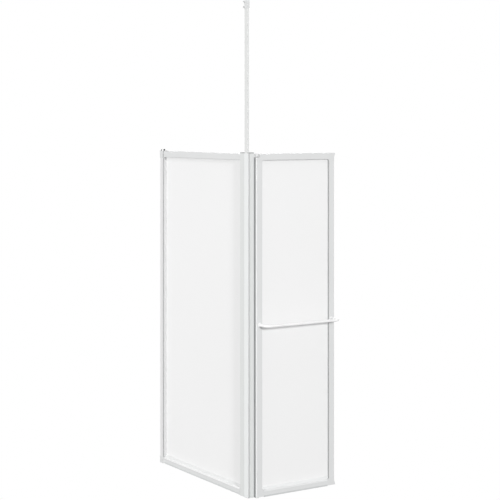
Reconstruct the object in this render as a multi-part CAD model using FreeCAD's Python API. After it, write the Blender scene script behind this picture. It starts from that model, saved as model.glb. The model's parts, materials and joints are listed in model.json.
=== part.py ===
import FreeCAD, Part
import os
from math import acos, cos, pi, sin, tan

from FreeCAD import Vector

# Corner bath screen: a fixed framed panel from the wall to a corner post, a framed door
# hung on the post, a towel rail on the door and a pole from the post to the ceiling.
# Millimetres, +Z up. The origin is the centre of the post's foot.
# The fixed panel runs along +Y to the wall, the closed door runs along +X,
# and the bath lies in the corner towards +X and +Y.

# Overall sizes
screen_height = 1400.0      # top of the panel frames above the bath rim
side_length = 750.0         # outer face of the door to the wall
door_reach = 420.0          # outer face of the post to the free edge of the door
pole_top_height = 2020.0    # top of the ceiling pole
cut_overrun = 2.0           # how far a cutting tool runs past what it cuts
same_place = 0.001          # points nearer than this are one point
quarter_turn = 90.0         # degrees
slip = 0.25                 # clearance each side of pieces that slide together
press_gap = 0.05            # clearance round a pin or bush pressed in its seat
running_gap = 0.05          # clearance round a pin that turns in its bush
joint_gap = 0.3             # clearance between faces that move past each other

# Frame section shared by the fixed panel and the door
frame_width = 26.0          # face width of stiles and rails
frame_thickness = 25.0
frame_wall = 1.4
frame_edge_radius = 1.5     # outer long edges
frame_lip_bevel = 0.8       # long edges beside the pane
box_width = 18.0            # closed hollow part of the section
hook_depth = 2.6            # how far the lip turns in towards the pane
seal_slot_width = 5.0       # slot along the outer edge, used by the bottom seals
seal_slot_depth = 2.5
frame_bottom = 3.0          # underside of the frames above the bath rim

# Pane and gaskets
pane_thickness = 3.0
pane_recess = 12.5          # outer frame face to outer pane face
pane_edge_gap = 1.0         # pane edge to the bottom of its groove
gasket_lip_gap = 1.3        # crease between the lip and the outer gasket
sill_rise = 10.0            # how far the sill of a bottom rail slopes up the pane
inner_gasket_reach = 5.0
gasket_root_gap = 0.2
gasket_drop = 0.9           # gasket top below the end of the frame's hook
gasket_least_radius = 1.0   # inner corner of a gasket that reaches past the frame's round

# Corner connectors
corner_leg = 35.0           # length of each leg along the frame
corner_inner_radius = 9.0
corner_outer_radius = 2.0
corner_proud = 0.15         # how far the moulding stands proud of the sections
spigot_length = 28.0        # part that plugs into a stile or rail
flare_reach = 4.5           # guide wing on the free edge of the door
flare_height = 18.0
flare_tip = 5.0

# Frame screws
screw_shank_radius = 1.6
screw_head_radius = 3.2
screw_head_height = 1.8
screw_shank_length = 8.0
screw_crown_share = 0.62    # width across the top of a pan head, of its full width
drive_radius = 1.2          # socket in a screw head, to its corners
drive_depth = 0.9
head_sides = 10             # screws repeat, so their rounds have few flat sides
shank_sides = 6
drive_sides = 6

# Corner post
post_wall = 1.5
post_edge_radius = 0.8
guide_seam_radius = 1.6     # edges of post and guide that meet in a crease
flank_tip_radius = 0.5      # free edges of the channel's flanks
guide_length = 30.4         # run of the pole guide along the fixed panel
guide_depth = 9.6
guide_wall = 1.0
guide_nose = 5.9            # closed nose of the guide in front of the pole
guide_groove_depth = 2.2    # open groove down the front of the nose
channel_bottom_gap = 0.5
channel_overlap = 3.0       # how far the channel covers past the stile
post_cap_thickness = 4.0
post_cap_round = 0.6
post_crown_radius = 0.5     # upright edges at the top of the cap
post_foot_thickness = 2.0
post_rise = 2.0             # post section above the frames
plug_depth = 20.0           # how far caps plug into the hollow sections
post_screw_count = 3
post_screw_inset = 200.0    # first and last screw from the ends of the panel
lock_bite = 5.0             # how far a locking screw reaches into the stile's hollow

# Wall profile
wall_web = 1.5
wall_flank = 26.0
wall_adjust_gap = 2.5       # between the stile and the web
wall_profile_rise = 0.5     # wall profile above the frames
wall_cap_wall = 1.2
wall_cap_mouth_radius = 0.6
wall_cap_height = 34.0
wall_cap_rise = 2.5         # top cap above the frames
wall_foot_height = 29.0
wall_foot_floor = 2.0
wall_hole_radius = 2.6
wall_hole_outer_inset = 100.0
wall_hole_inner_inset = 500.0
lock_sides = 12
lock_screw_radius = 4.0
lock_screw_height = 6.5
lock_slot_width = 1.2
lock_slot_depth = 0.9
lock_pin_radius = 2.2
lock_pin_height = 5.5
lock_pin_inset = 5.0

# Bottom seals: a channel clipped round the foot of the bottom rail, with a soft blade
seal_blade = 3.0
seal_wall = 0.7
seal_floor = 1.8
seal_leg = 4.2              # how far the channel's sides stand up the rail
seal_fit_gap = 0.05
seal_ground_gap = 0.4       # door seal above the bath rim

# Ceiling pole and socket
pole_width = 23.0
pole_thickness = 7.2
pole_wall = 1.2
pole_overlap = 222.0        # length of the pole that stands in its guide
pole_edge_radius = 0.7
socket_wall = 1.6
socket_height = 33.0
socket_top_plate = 3.0
socket_headroom = 3.0       # free space above the pole for adjustment
socket_hole_radius = 2.5
socket_screw_radius = 2.0
socket_screw_head_radius = 4.0
socket_screw_head_height = 5.0
socket_screw_count = 2
socket_screw_pitch = 21.0
socket_screw_low = 6.0      # lower screw above the socket's rim
socket_screw_edge = 3.6     # from the socket's far edge
glider_foot = 4.0           # moulded plug that closes the pole's lower end
glider_plug = 18.0

# Door and hinge
door_step = 17.0            # the door's outer face stands this far in front of the post
door_gap = 3.1              # post to door edge
pivot_from_edge = 6.5       # pivot axis from the door's hinge edge
pivot_from_face = 8.5       # pivot axis behind the door's outer face
pin_radius = 3.0
pin_engagement = 18.0       # pin length inside the door
bush_wall = 1.6             # least wall, at the middle of each flat of the bush
bush_sides = 6              # the flats keep the bush from turning in its seat
bush_flange_radius = 6.2    # to the corners of the flange
top_bush_flange = 1.8       # flange thickness, seen as the line under the top arm
bottom_bush_flange = 0.5
boss_radius = 7.5
top_arm_height = 11.2
top_arm_cover = 0.5         # arm below the top of the door
bottom_arm_thickness = 2.2
boss_room = 0.6             # free space round the hinge boss and arm in the door
arm_back_room = 1.2         # free space past the pivot for the slanting arm
arm_pad_start = 9.2         # pad begins this far behind the post's near face
arm_pad_length = 22.0
arm_pad_height = 36.0
arm_pad_thickness = 2.6
arm_width = 9.0
arm_root = 7.5              # middle of the arm behind the post's near face
arm_screw_inset = 8.0
arm_screw_from_start = 15.0 # screws from the near edge of the pad
arm_screw_bite = 4.0        # how far the screws reach into the post
pin_head_room = 1.5         # solid arm left over the top pin
strip_width = 5.3
strip_thickness = 1.3
strip_radius = 1.0
strip_back_radius = 0.5
edge_seal_thickness = 1.0   # grey strip behind the white lip on the door's hinge edge
edge_seal_end = 23.0        # its far edge behind the door's outer face
edge_seal_gap = 0.2         # between the lip and the grey strip
seal_width = 5.0            # post seal across the gap
seal_tip_radius = 1.2
seal_from_near = 2.2        # post seal behind the post's near face
seal_end_gap = 1.0

# Towel rail
rail_height = 704.0         # axis above the bath rim
rail_projection = 57.0      # axis in front of the door
rail_radius = 6.0
rail_bend = 22.0
flange_radius = 8.5
flange_crown = 6.8
flange_thickness = 2.5
rail_screw_radius = 2.0
rail_screw_head_radius = 4.2
rail_screw_head_height = 2.2
rail_screw_bite = 6.0       # how far the screw reaches into the rail

# Places worked out from the sizes above
post_top = screen_height + post_rise
wall_profile_top = screen_height + wall_profile_rise
wall_cap_top = screen_height + wall_cap_rise
pole_bottom = post_top - pole_overlap
post_depth = frame_thickness + 2 * (slip + post_wall)
channel_depth = channel_bottom_gap + frame_width + channel_overlap
post_length = guide_length + post_wall + channel_depth
post_out_x = -post_depth / 2
post_in_x = post_depth / 2
post_near_y = -post_length / 2
post_far_y = post_length / 2
web_y = post_near_y + guide_length
door_face_y = post_near_y - door_step
wall_y = door_face_y + side_length
side_face_x = post_out_x + post_wall + slip
side_start_y = web_y + post_wall + channel_bottom_gap
side_end_y = wall_y - wall_web - wall_adjust_gap
side_width = side_end_y - side_start_y
door_edge_x = post_in_x + door_gap
door_width = post_out_x + door_reach - door_edge_x
frame_height = screen_height - frame_bottom
pivot_x = door_edge_x + pivot_from_edge
pivot_y = door_face_y + pivot_from_face
top_arm_high = screen_height - top_arm_cover
top_arm_low = top_arm_high - top_arm_height
notch_floor = top_arm_low - joint_gap - top_bush_flange

x_axis = Vector(1, 0, 0)
y_axis = Vector(0, 1, 0)
z_axis = Vector(0, 0, 1)


def save(name, shape):
    shape.exportStep("parts/" + name + ".step")


# Plain building helpers


def block(x0, y0, z0, x1, y1, z1):
    return Part.makeBox(x1 - x0, y1 - y0, z1 - z0, Vector(x0, y0, z0))


def rod(radius, start, end):
    along = end - start
    return Part.makeCylinder(radius, along.Length, start, along)


def ring(radius, sides, middle, along):
    """Corners of a regular outline round an axis."""
    across = along.cross(z_axis).normalize() if abs(along.dot(z_axis)) < same_place else x_axis
    up = across.cross(along).normalize()
    corners = []
    for i in range(sides):
        turn = 2 * pi * (i + 1 / 2) / sides
        corners.append(middle + across * (radius * cos(turn)) + up * (radius * sin(turn)))
    return corners


def flat_face(corners):
    return Part.Face(Part.makePolygon(corners + corners[:1]))


def flat_rod(radius, sides, start, end):
    """Rod of a few flat sides, with the radius to its corners."""
    along = end - start
    return flat_face(ring(radius, sides, start, along)).extrude(along)


def flat_cone(wide, narrow):
    """Solid of flat sides between two outlines of as many corners."""
    faces = [flat_face(wide), flat_face(narrow)]
    for i in range(len(wide)):
        faces.append(flat_face([wide[i - 1], wide[i], narrow[i], narrow[i - 1]]))
    return Part.Solid(Part.Shell(faces))


def rounded_wire(corners, place):
    """Closed wire through (u, v, radius) corners; place turns (u, v) into a point."""
    points = [place(u, v) for u, v, radius in corners]
    edges = []
    starts = []
    for i, corner in enumerate(corners):
        here = points[i]
        to_last = (points[i - 1] - here).normalize()
        to_next = (points[(i + 1) % len(points)] - here).normalize()
        radius = corner[2]
        if radius == 0:
            starts.append((here, here))
            continue
        half = acos(max(-1.0, min(1.0, to_last.dot(to_next)))) / 2
        setback = radius / tan(half)
        middle = (to_last + to_next).normalize() * (radius / sin(half) - radius)
        enter = here + to_last * setback
        leave = here + to_next * setback
        starts.append((enter, leave))
        edges.append((i, Part.Arc(enter, here + middle, leave).toShape()))
    arcs = dict(edges)
    ordered = []
    for i, (enter, leave) in enumerate(starts):
        if i in arcs:
            ordered.append(arcs[i])
        onward = starts[(i + 1) % len(starts)][0]
        if (onward - leave).Length > same_place:
            ordered.append(Part.LineSegment(leave, onward).toShape())
    return Part.Wire(ordered)


def rounded_prism(corners, place, along):
    return Part.Face(rounded_wire(corners, place)).extrude(along)


def rectangle(u0, v0, u1, v1, radius):
    return [(u0, v0, radius), (u1, v0, radius), (u1, v1, radius), (u0, v1, radius)]


def plan(z):
    """Places a section drawn in plan, (x, y), at height z."""
    return lambda x, y: Vector(x, y, z)


class Panel:
    """A framed panel: w runs across it, h up it and t through it from its outer face."""

    def __init__(self, corner, w_dir, t_dir, width, height):
        self.corner = corner
        self.w_dir = w_dir
        self.t_dir = t_dir
        self.width = width
        self.height = height

    def at(self, w, h, t):
        return self.corner + self.w_dir * w + z_axis * h + self.t_dir * t

    def face_plane(self, t):
        return lambda w, h: self.at(w, h, t)

    def prism(self, corners, t0, t1):
        return rounded_prism(corners, self.face_plane(t0), self.t_dir * (t1 - t0))

    def inset_outline(self, inset, radius):
        return rectangle(inset, inset, self.width - inset, self.height - inset, radius)


side = Panel(Vector(side_face_x, side_start_y, frame_bottom), y_axis, x_axis, side_width, frame_height)
door = Panel(Vector(door_edge_x, door_face_y, frame_bottom), x_axis, y_axis, door_width, frame_height)


# Frame sections


def frame_outline():
    """Outer line of the hollow section, a from the outer edge, t from the outer face."""
    hook_start = frame_width - frame_wall
    back = frame_thickness
    inside_back = back - frame_wall
    slot0 = (back - seal_slot_width) / 2
    slot1 = (back + seal_slot_width) / 2
    return [
        (0, 0, frame_edge_radius),
        (frame_width - frame_lip_bevel, 0, 0),
        (frame_width, frame_lip_bevel, 0),
        (frame_width, hook_depth, 0),
        (hook_start, hook_depth, 0),
        (hook_start, frame_wall, 0),
        (box_width, frame_wall, 0),
        (box_width, inside_back, 0),
        (hook_start, inside_back, 0),
        (hook_start, back - hook_depth, 0),
        (frame_width, back - hook_depth, 0),
        (frame_width, back - frame_lip_bevel, 0),
        (frame_width - frame_lip_bevel, back, 0),
        (0, back, frame_edge_radius),
        (0, slot1, 0),
        (seal_slot_depth, slot1, 0),
        (seal_slot_depth, slot0, 0),
        (0, slot0, 0),
    ]


def chamber_outline(shrink):
    """The hollow in the section, or the spigot in it when shrink is the clearance."""
    low = frame_wall + shrink
    high = frame_thickness - frame_wall - shrink
    step = seal_slot_depth + frame_wall + shrink
    slot0 = (frame_thickness - seal_slot_width) / 2 - frame_wall - shrink
    slot1 = (frame_thickness + seal_slot_width) / 2 + frame_wall + shrink
    across = box_width - frame_wall - shrink
    return [
        (low, low, 0),
        (across, low, 0),
        (across, high, 0),
        (low, high, 0),
        (low, slot1, 0),
        (step, slot1, 0),
        (step, slot0, 0),
        (low, slot0, 0),
    ]


def stile_place(panel, at_far_edge, h):
    if at_far_edge:
        return lambda a, t: panel.at(panel.width - a, h, t)
    return lambda a, t: panel.at(a, h, t)


def rail_place(panel, at_top, w):
    if at_top:
        return lambda a, t: panel.at(w, panel.height - a, t)
    return lambda a, t: panel.at(w, a, t)


def hollow_section(place, along):
    outer = rounded_prism(frame_outline(), place, along)
    return outer.cut(rounded_prism(chamber_outline(0), place, along))


def stile(panel, at_far_edge):
    along = z_axis * (panel.height - 2 * corner_leg)
    return hollow_section(stile_place(panel, at_far_edge, corner_leg), along)


def rail(panel, at_top):
    along = panel.w_dir * (panel.width - 2 * corner_leg)
    return hollow_section(rail_place(panel, at_top, corner_leg), along)


# Corner connectors


def mirrored(panel, at_far_edge, at_top):
    """Turns a place measured from a corner of the panel into a place in the panel."""
    def place(w, h, t):
        across = panel.width - w if at_far_edge else w
        up = panel.height - h if at_top else h
        return panel.at(across, up, t)
    return place


def corner_piece(panel, at_far_edge, at_top, flared):
    spot = mirrored(panel, at_far_edge, at_top)
    front = -corner_proud
    back = frame_thickness + corner_proud
    cover = [
        (0, 0, corner_outer_radius),
        (corner_leg, 0, 0),
        (corner_leg, frame_width, 0),
        (frame_width, frame_width, corner_inner_radius),
        (frame_width, corner_leg, 0),
        (0, corner_leg, 0),
    ]
    through = panel.t_dir * (back - front)
    body = rounded_prism(cover, lambda w, h: spot(w, h, front), through)
    if flared:
        wing = [
            (cut_overrun, 0, 0),
            (-flare_reach, 0, 0),
            (-flare_reach, flare_tip, 0),
            (0, flare_height, 0),
            (cut_overrun, flare_height, 0),
        ]
        body = body.fuse(rounded_prism(wing, lambda w, h: spot(w, h, front), through))
    groove0 = frame_wall
    groove1 = frame_thickness - frame_wall
    reach = corner_leg + cut_overrun
    groove = [
        (box_width, box_width, 0),
        (reach, box_width, 0),
        (reach, reach, 0),
        (box_width, reach, 0),
    ]
    groove_through = panel.t_dir * (groove1 - groove0)
    body = body.cut(rounded_prism(groove, lambda w, h: spot(w, h, groove0), groove_through))
    hook_line = [
        (frame_width - frame_wall, frame_width - frame_wall, 0),
        (corner_leg, frame_width - frame_wall, 0),
        (corner_leg, frame_width, 0),
        (frame_width, frame_width, corner_inner_radius),
        (frame_width, corner_leg, 0),
        (frame_width - frame_wall, corner_leg, 0),
    ]
    for t0, t1 in ((groove0, hook_depth), (frame_thickness - hook_depth, groove1)):
        rib = rounded_prism(hook_line, lambda w, h: spot(w, h, t0), panel.t_dir * (t1 - t0))
        body = body.fuse(rib)
    up = chamber_outline(slip)
    upward = spot(0, corner_leg + spigot_length, 0) - spot(0, corner_leg, 0)
    body = body.fuse(rounded_prism(up, lambda a, t: spot(a, corner_leg, t), upward))
    onward = spot(corner_leg + spigot_length, 0, 0) - spot(corner_leg, 0, 0)
    body = body.fuse(rounded_prism(up, lambda a, t: spot(corner_leg, a, t), onward))
    return body.removeSplitter()


# Pane, gaskets and seals


def pane(panel):
    inset = box_width + pane_edge_gap
    return panel.prism(panel.inset_outline(inset, 0), pane_recess, pane_recess + pane_thickness)


def inner_gasket(panel):
    """Ring on the bath side that wedges the pane, sloping from the frame's hook to the pane."""
    pane_t = pane_recess + pane_thickness
    hook_t = frame_thickness - hook_depth
    wall_t = frame_thickness - frame_wall
    return sloping_ring(panel, pane_t, hook_t, wall_t, inner_gasket_reach)


def outer_gasket(panel):
    """Ring on the outer side that fills the height between the lip and the pane."""
    low = hook_depth + gasket_lip_gap
    ring_in = panel.prism(panel.inset_outline(box_width + gasket_root_gap, 0), low, pane_recess)
    opening = panel.inset_outline(frame_width, corner_inner_radius)
    return ring_in.cut(panel.prism(opening, low - cut_overrun, pane_recess + cut_overrun))


def sill(panel):
    """Sloping bead on the bottom rail that sheds water from the foot of the pane."""
    line = [
        (hook_depth + gasket_lip_gap, frame_width, 0),
        (pane_recess, frame_width, 0),
        (pane_recess, frame_width + sill_rise, 0),
    ]
    along = panel.w_dir * (panel.width - 2 * frame_width)
    bead = rounded_prism(line, lambda t, h: panel.at(frame_width, h, t), along)
    return bead.cut(outer_gasket(panel))


def sloping_ring(panel, pane_t, hook_t, lip_t, reach):
    """Ring between the hook of the frame and the pane, sloping from hook to pane."""
    toward = 1 if pane_t > hook_t else -1
    root_in = box_width + gasket_root_gap
    root_out = frame_width - frame_wall - gasket_root_gap
    root_t = lip_t + toward * gasket_root_gap
    slope_t = hook_t + toward * gasket_drop
    seat_radius = max(corner_inner_radius - reach, gasket_least_radius)
    root = panel.prism(panel.inset_outline(root_in, 0), root_t, pane_t)
    lower = panel.prism(panel.inset_outline(root_out, 0), root_t, slope_t)
    root = root.cut(lower)
    start = rounded_wire(
        panel.inset_outline(root_out, corner_inner_radius), panel.face_plane(slope_t))
    end = rounded_wire(
        panel.inset_outline(frame_width + reach, seat_radius), panel.face_plane(pane_t))
    return root.cut(Part.makeLoft([start, end], True, True))


def bottom_seal(panel, drop):
    """Channel clipped round the foot of the bottom rail with a blade down to the bath rim."""
    middle = frame_thickness / 2
    inside = -seal_fit_gap
    out0 = -seal_fit_gap - seal_wall
    out1 = frame_thickness + seal_fit_gap + seal_wall
    floor = -seal_floor
    blade = seal_blade / 2
    line = [
        (out0, seal_leg, 0),
        (out0, floor, 0),
        (middle - blade, floor, 0),
        (middle - blade, -drop, 0),
        (middle + blade, -drop, 0),
        (middle + blade, floor, 0),
        (out1, floor, 0),
        (out1, seal_leg, 0),
        (out1 - seal_wall, seal_leg, 0),
        (out1 - seal_wall, inside, 0),
        (out0 + seal_wall, inside, 0),
        (out0 + seal_wall, seal_leg, 0),
    ]
    run = corner_leg + slip
    along = panel.w_dir * (panel.width - 2 * run)
    return rounded_prism(line, lambda t, h: panel.at(run, h, t), along)


# Fasteners


def domed(radius, crown_radius, height, seat, outward):
    """Disc on a seat whose outer half tapers to a smaller crown."""
    half = height / 2
    rim = Part.makeCylinder(radius, half, seat, outward)
    return rim.fuse(Part.makeCone(radius, crown_radius, half, seat + outward * half, outward))


def pan_screw(seat, into, shank_radius, shank_length, head_radius, head_height):
    """Pan head screw: its head stands on the seat and its shank runs along into."""
    top = seat - into * head_height
    shoulder = seat - into * (head_height / 2)
    head = flat_rod(head_radius, head_sides, seat, shoulder)
    crown_radius = head_radius * screw_crown_share
    rim = ring(head_radius, head_sides, shoulder, into)
    head = head.fuse(flat_cone(rim, ring(crown_radius, head_sides, top, into)))
    socket = flat_rod(drive_radius, drive_sides, top - into * cut_overrun, top + into * drive_depth)
    shank = flat_rod(shank_radius, shank_sides, seat, seat + into * shank_length)
    return head.cut(socket).fuse(shank).removeSplitter()


def frame_screw_seats(panel, in_stiles):
    """One screw in each rail end, and in each stile end where the stile is reached."""
    middle = box_width / 2
    run = corner_leg + spigot_length / 2
    spots = [(run, middle), (middle, run)] if in_stiles else [(run, middle)]
    seats = []
    for at_far_edge in (False, True):
        for at_top in (False, True):
            place = mirrored(panel, at_far_edge, at_top)
            seats += [place(w, h, frame_thickness) for w, h in spots]
    return seats


def frame_screws(panel, in_stiles):
    """Screws from the bath side through the sections into the connectors' spigots."""
    return Part.makeCompound([
        pan_screw(seat, panel.t_dir * -1, screw_shank_radius, screw_shank_length,
                  screw_head_radius, screw_head_height)
        for seat in frame_screw_seats(panel, in_stiles)])


def screw_holes(seats, into, radius, depth):
    return [flat_rod(radius, shank_sides, seat - into * cut_overrun, seat + into * depth) for seat in seats]


def spread(first, last, count):
    return [first + (last - first) * i / (count - 1) for i in range(count)]


# Fixed panel


def lock_screw_seats(y, face_x):
    low = frame_bottom + post_screw_inset
    high = screen_height - post_screw_inset
    return [Vector(face_x, y, z) for z in spread(low, high, post_screw_count)]


post_screw_y = side_start_y + box_width / 2
wall_screw_y = side_end_y - box_width / 2
lock_shank = post_wall + slip + frame_wall + lock_bite


def lock_screws(y):
    return [pan_screw(seat, x_axis * -1, screw_shank_radius, lock_shank,
                      screw_head_radius, screw_head_height)
            for seat in lock_screw_seats(y, post_in_x)]


def lock_holes(y):
    return screw_holes(lock_screw_seats(y, post_in_x), x_axis * -1, screw_shank_radius, lock_shank)


def build_panel(panel, prefix, near, far, flared, screws_in_stiles):
    """Frame, corners, pane, gaskets and frame screws of one panel."""
    seats = frame_screw_seats(panel, screws_in_stiles)
    holes = Part.makeCompound(
        screw_holes(seats, panel.t_dir * -1, screw_shank_radius, screw_shank_length))
    pieces = {
        prefix + "_" + near + "_stile": stile(panel, False).cut(holes),
        prefix + "_" + far + "_stile": stile(panel, True).cut(holes),
        prefix + "_top_rail": rail(panel, True).cut(holes),
        prefix + "_bottom_rail": rail(panel, False).cut(holes),
    }
    for at_far_edge in (False, True):
        for at_top in (False, True):
            level = "top" if at_top else "bottom"
            end = far if at_far_edge else near
            piece = corner_piece(panel, at_far_edge, at_top, flared and at_far_edge)
            pieces[prefix + "_corner_" + level + "_" + end] = piece.cut(holes)
    pieces[prefix + "_pane"] = pane(panel)
    pieces[prefix + "_gasket_outer"] = outer_gasket(panel)
    pieces[prefix + "_gasket_inner"] = inner_gasket(panel)
    pieces[prefix + "_sill"] = sill(panel)
    pieces[prefix + "_frame_screws"] = frame_screws(panel, screws_in_stiles)
    return pieces


# Wall profile


def wall_profile():
    inside0 = post_out_x + post_wall
    inside1 = post_in_x - post_wall
    flank_y = wall_y - wall_flank
    line = [
        (post_out_x, flank_y, flank_tip_radius),
        (inside0, flank_y, flank_tip_radius),
        (inside0, wall_y - wall_web, 0),
        (inside1, wall_y - wall_web, 0),
        (inside1, flank_y, flank_tip_radius),
        (post_in_x, flank_y, flank_tip_radius),
        (post_in_x, wall_y, post_edge_radius),
        (post_out_x, wall_y, post_edge_radius),
    ]
    along = z_axis * (wall_profile_top - wall_foot_floor)
    body = rounded_prism(line, plan(wall_foot_floor), along)
    for z in wall_hole_heights():
        start = Vector(0, wall_y - wall_web - cut_overrun, z)
        body = body.cut(rod(wall_hole_radius, start, Vector(0, wall_y + cut_overrun, z)))
    return body.cut(Part.makeCompound(lock_holes(wall_screw_y)))


def wall_hole_heights():
    heights = []
    for inset in (wall_hole_outer_inset, wall_hole_inner_inset):
        heights.append(inset)
        heights.append(screen_height - inset)
    return heights


def wall_cap(bottom, top, closed_from, closed_to):
    """Sleeve round the end of the wall profile, open towards the panel."""
    outer0 = post_out_x - wall_cap_wall
    outer1 = post_in_x + wall_cap_wall
    mouth_y = wall_y - wall_flank
    line = [
        (outer0, mouth_y, wall_cap_mouth_radius),
        (outer1, mouth_y, wall_cap_mouth_radius),
        (outer1, wall_y, 0),
        (outer0, wall_y, 0),
    ]
    body = rounded_prism(line, plan(bottom), z_axis * (top - bottom))
    sleeve = block(post_out_x, mouth_y - cut_overrun, bottom - cut_overrun,
                   post_in_x, wall_y + cut_overrun, top + cut_overrun)
    keep = block(outer0, mouth_y - cut_overrun, closed_from, outer1, wall_y + cut_overrun, closed_to)
    return body.cut(sleeve.cut(keep))


def wall_top_cap():
    return wall_cap(wall_cap_top - wall_cap_height, wall_cap_top, wall_profile_top, wall_cap_top)


def wall_foot_cap():
    return wall_cap(0, wall_foot_height, 0, wall_foot_floor)


def wall_cap_screws():
    middle_y = wall_y - wall_flank / 2
    seat = Vector(0, middle_y, wall_cap_top)
    head = flat_rod(lock_screw_radius, lock_sides, seat, seat + z_axis * lock_screw_height)
    head_top = wall_cap_top + lock_screw_height
    slot = block(-lock_screw_radius, middle_y - lock_slot_width / 2, head_top - lock_slot_depth,
                 lock_screw_radius, middle_y + lock_slot_width / 2, head_top + cut_overrun)
    pin_seat = Vector(post_out_x + lock_pin_inset, wall_y - lock_pin_inset, wall_cap_top)
    pin = flat_rod(lock_pin_radius, lock_sides, pin_seat, pin_seat + z_axis * lock_pin_height)
    return Part.makeCompound([head.cut(slot), pin])


# Corner post and pole guide


def corner_post():
    """Hollow box beside the door with a channel for the fixed panel behind it."""
    guide_x = post_out_x + guide_depth
    inner0 = post_out_x + post_wall
    inner1 = post_in_x - post_wall
    floor_y = web_y + post_wall
    line = [
        (guide_x, post_near_y, guide_seam_radius),
        (post_in_x, post_near_y, post_edge_radius),
        (post_in_x, post_far_y, flank_tip_radius),
        (inner1, post_far_y, flank_tip_radius),
        (inner1, floor_y, 0),
        (inner0, floor_y, 0),
        (inner0, post_far_y, flank_tip_radius),
        (post_out_x, post_far_y, flank_tip_radius),
        (post_out_x, web_y, 0),
        (guide_x, web_y, 0),
    ]
    chamber = rectangle(guide_x + post_wall, post_near_y + post_wall, inner1, web_y, 0)
    along = z_axis * (post_top - post_foot_thickness)
    body = rounded_prism(line, plan(post_foot_thickness), along)
    body = body.cut(rounded_prism(chamber, plan(post_foot_thickness), along))
    body = body.cut(Part.makeCompound(lock_holes(post_screw_y)))
    return body.cut(Part.makeCompound(arm_screw_holes()))


pole_x0 = post_out_x + guide_wall + slip
pole_x1 = pole_x0 + pole_thickness
pole_y0 = post_near_y + guide_nose + slip
pole_y1 = pole_y0 + pole_width


def pole_guide():
    """Slim section on the outer corner of the post, with a grooved nose and the pole's sleeve."""
    guide_x = post_out_x + guide_depth
    line = [
        (post_out_x, post_near_y, post_edge_radius),
        (guide_x, post_near_y, guide_seam_radius),
        (guide_x, web_y, post_edge_radius),
        (post_out_x, web_y, post_edge_radius),
    ]
    inner0 = post_out_x + guide_wall
    inner1 = guide_x - guide_wall
    groove_y = post_near_y + guide_groove_depth
    groove = rectangle(inner0, post_near_y - cut_overrun, inner1, groove_y, 0)
    nose = rectangle(inner0, groove_y + guide_wall, inner1, post_near_y + guide_nose - guide_wall, 0)
    sleeve = rectangle(pole_x0 - slip, pole_y0 - slip, pole_x1 + slip, pole_y1 + slip, 0)
    along = z_axis * (post_top - post_foot_thickness)
    body = rounded_prism(line, plan(post_foot_thickness), along)
    for hollow in (groove, nose, sleeve):
        body = body.cut(rounded_prism(hollow, plan(post_foot_thickness), along))
    return body


def chamber_plug(low, high):
    """Plug for the hollow box of the post."""
    guide_x = post_out_x + guide_depth
    return block(guide_x + post_wall + slip, post_near_y + post_wall + slip, low,
                 post_in_x - post_wall - slip, web_y - slip, high)


def post_top_cap():
    """Cap over post and guide: a rounded plate with a plug and a passage for the pole."""
    line = rectangle(post_out_x, post_near_y, post_in_x, post_far_y, post_edge_radius)
    shoulder_z = post_top + post_cap_thickness - post_cap_round
    crown = rectangle(post_out_x + post_cap_round, post_near_y + post_cap_round,
                      post_in_x - post_cap_round, post_far_y - post_cap_round,
                      post_crown_radius)
    shoulder = rounded_wire(line, plan(shoulder_z))
    top = rounded_wire(crown, plan(post_top + post_cap_thickness))
    plate = rounded_prism(line, plan(post_top), z_axis * (shoulder_z - post_top))
    plate = plate.fuse(Part.makeLoft([shoulder, top], True, True))
    passage = block(post_out_x - cut_overrun, pole_y0 - slip, post_top - cut_overrun,
                    pole_x1 + slip, pole_y1 + slip, post_top + post_cap_thickness + cut_overrun)
    cap = plate.cut(passage).fuse(chamber_plug(post_top - plug_depth, post_top))
    return cap.cut(Part.makeCompound(arm_screw_holes()))


def post_foot_cap():
    line = rectangle(post_out_x, post_near_y, post_in_x, post_far_y, post_edge_radius)
    plate = rounded_prism(line, plan(0), z_axis * post_foot_thickness)
    cap = plate.fuse(chamber_plug(post_foot_thickness, post_foot_thickness + plug_depth))
    return cap.cut(Part.makeCompound(arm_screw_holes()))


def post_seal():
    """Soft D-shaped strip on the post that closes the gap beside the door's edge."""
    y0 = post_near_y + seal_from_near
    y1 = y0 + seal_width
    tip_x = door_edge_x - edge_seal_thickness - joint_gap
    line = [
        (post_in_x, y0, 0),
        (tip_x, y0, seal_tip_radius),
        (tip_x, y1, seal_tip_radius),
        (post_in_x, y1, 0),
    ]
    bottom = bottom_arm_thickness + seal_end_gap
    top = screen_height - top_arm_cover - top_arm_height - seal_end_gap
    return rounded_prism(line, plan(bottom), z_axis * (top - bottom))


# Ceiling pole and its fixings


def ceiling_pole():
    line = rectangle(pole_x0, pole_y0, pole_x1, pole_y1, pole_edge_radius)
    bore = rectangle(pole_x0 + pole_wall, pole_y0 + pole_wall,
                     pole_x1 - pole_wall, pole_y1 - pole_wall, 0)
    along = z_axis * (pole_top_height - pole_bottom)
    body = rounded_prism(line, plan(pole_bottom), along)
    return body.cut(rounded_prism(bore, plan(pole_bottom), along))


def pole_glider():
    """Moulded plug in the pole's lower end that guides it in the sleeve."""
    foot = block(pole_x0, pole_y0, pole_bottom - glider_foot, pole_x1, pole_y1, pole_bottom)
    inset = pole_wall + slip
    plug = block(pole_x0 + inset, pole_y0 + inset, pole_bottom,
                 pole_x1 - inset, pole_y1 - inset, pole_bottom + glider_plug)
    return foot.fuse(plug)


socket_top = pole_top_height + socket_headroom + socket_top_plate
socket_rim = socket_top - socket_height


def socket_screw_places():
    y = pole_y1 + slip + socket_wall - socket_screw_edge
    x = pole_x0 - slip - socket_wall
    return [Vector(x, y, socket_rim + socket_screw_low + i * socket_screw_pitch)
            for i in range(socket_screw_count)]


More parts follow.
